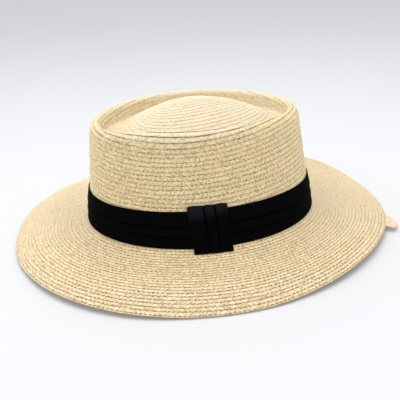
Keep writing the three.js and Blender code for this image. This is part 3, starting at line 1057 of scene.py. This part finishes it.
def clothMaterial(name, group, roughness, sheenTo):
    # the last argument is how far along the cloth, in metres, the painted sheen reaches
    given = {"Threads": cloth["threads"], "Deep": cloth["colour"], "Raised": cloth["lift"],
             "Painted sheen": cloth["paintedSheen"], "Sheen to": sheenTo}
    shine = {"Specular IOR Level": 0.01, "Sheen Weight": 0.001, "Sheen Roughness": 0.5,
             "Sheen Tint": (0.8, 0.85, 1.0, 1), "Roughness": roughness}
    return patternMaterial(name, group, shine, given, 0.5, 0.00012)


weaveGroup = clothGroup()
grid, bandFlat = bandGrid()
bandPiece = makePiece("band_cloth", [grid], clothMaterial("bandCloth", weaveGroup, 0.8, cloth["bandSheen"]))
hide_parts("hat_band")
grid, loopFlat = loopGrid()
loopPiece = makePiece("loop_cloth", [grid], clothMaterial("loopCloth", weaveGroup, 0.76, cloth["loopSheen"]))
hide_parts("band_loop")
sizes = tuple(1000 * size for size in bandFlat + loopFlat)
print("cloth done, band cut to %.0f x %.0f mm, loop to %.0f x %.0f mm" % sizes)

# floor, light and camera
studio = {
    "floorSize": 40.0,
    "floorTop": -0.0003,  # just under the hat
    "floorColour": (0.64, 0.643, 0.66, 1),
    "floorFarShade": (0.495, 0.50, 0.513, 1),  # painted shade further off, as if the light fell away there
    "floorTowards": (0.47, 0.88, 0.0),
    "floorFades": (0.1, 0.9),  # metres that way
    "floorGlow": 0.12,  # painted light: a faint glow, as of a light table, that lightens the shadows under the brim
    "glowColour": (1.0, 0.995, 0.985, 1),
    "keyPower": 5.8,
    "keySize": 0.95,
    "keyAt": (-0.05, -0.04, 0.95),
    "keyAim": (0, 0, 0.05),
    "skyColour": (0.97, 0.98, 1.0, 1),
    "skyStrength": 0.78,
    "skyFront": 0.72,  # how bright the sky is towards the camera, next to the far side
    "skyTowards": (-0.15, 0.985),
    "skyLow": 1.4,  # how much brighter it is near the horizon
    "skyLowEnds": 0.5,
}
view = {
    "target": (-0.00364, 0.00017, 0.02253),
    "azimuth": -28.064,
    "elevation": 24.658,
    "roll": -1.884,
    "distance": 0.72462,
    "lens": 74.193,
}


def makeFloor():
    # a square about the origin, with painted shade making it a little darker further off, and a faint glow of
    # painted light
    mesh = bpy.data.meshes.new("floor")
    half, top = studio["floorSize"] / 2, studio["floorTop"]
    corners = [(-half, -half, top), (half, -half, top), (half, half, top), (-half, half, top)]
    mesh.from_pydata(corners, [], [(0, 1, 2, 3)])
    material, tree, shader = newMaterial("paleFloor", {
        "Roughness": 0.7, "Specular IOR Level": 0.2, "Emission Color": studio["glowColour"],
        "Emission Strength": studio["floorGlow"]})
    at = newNode(tree, "ShaderNodeTexCoord").outputs["Object"]
    away = ramp(tree, distanceTowards(tree, at, studio["floorTowards"]), *studio["floorFades"])
    colour = blendColours(tree, away, studio["floorColour"], studio["floorFarShade"])
    tree.links.new(colour, shader.inputs["Base Color"])
    mesh.materials.append(material)
    addObject("floor", mesh)


def makeLights():
    # a round key light above the hat, aimed at it, and a sky that brightens away from the camera and down low
    light = bpy.data.lights.new("key", "AREA")
    light.shape, light.size, light.energy = "DISK", studio["keySize"], studio["keyPower"]
    key = addObject("key", light)
    key.location = studio["keyAt"]
    aim = unit(np.array(studio["keyAim"]) - np.array(studio["keyAt"]))
    key.rotation_euler = (math.acos(aim[2]) - math.pi, 0, math.atan2(aim[1], aim[0]) + math.pi / 2)
    world = bpy.data.worlds.new("sky")
    bpy.context.scene.world = world
    world.use_nodes = True
    tree = world.node_tree
    x, y, z = separate(tree, newNode(tree, "ShaderNodeTexCoord").outputs["Generated"])
    strength, front = studio["skyStrength"], studio["skyFront"]
    away = maths(tree, "MULTIPLY", x, studio["skyTowards"][0])
    away = maths(tree, "MULTIPLY_ADD", y, studio["skyTowards"][1], away)
    strength = ramp(tree, away, -1.0, 1.0, strength * front, strength * (2 - front))
    low = ramp(tree, z, 0.0, studio["skyLowEnds"], 1 + studio["skyLow"], 1.0)
    background = tree.nodes["Background"].inputs
    background["Color"].default_value = studio["skyColour"]
    tree.links.new(maths(tree, "MULTIPLY", strength, low), background["Strength"])


def makeCamera():
    # turned by the view's angles about the target, then moved straight back from it
    matrix = Matrix.Translation(view["target"])
    for angle, axis in ((view["azimuth"], "Z"), (90 - view["elevation"], "X"), (view["roll"], "Z")):
        matrix = matrix @ Matrix.Rotation(math.radians(angle), 4, axis)
    camera = addObject("camera", bpy.data.cameras.new("camera"))
    camera.matrix_world = matrix @ Matrix.Translation((0, 0, view["distance"]))
    camera.data.lens = view["lens"]
    camera.data.clip_start, camera.data.clip_end = 0.01, 50
    bpy.context.scene.camera = camera


makeFloor()
makeLights()
makeCamera()
bpy.context.scene.view_settings.view_transform = "Standard"
print("floor, lights and camera done")
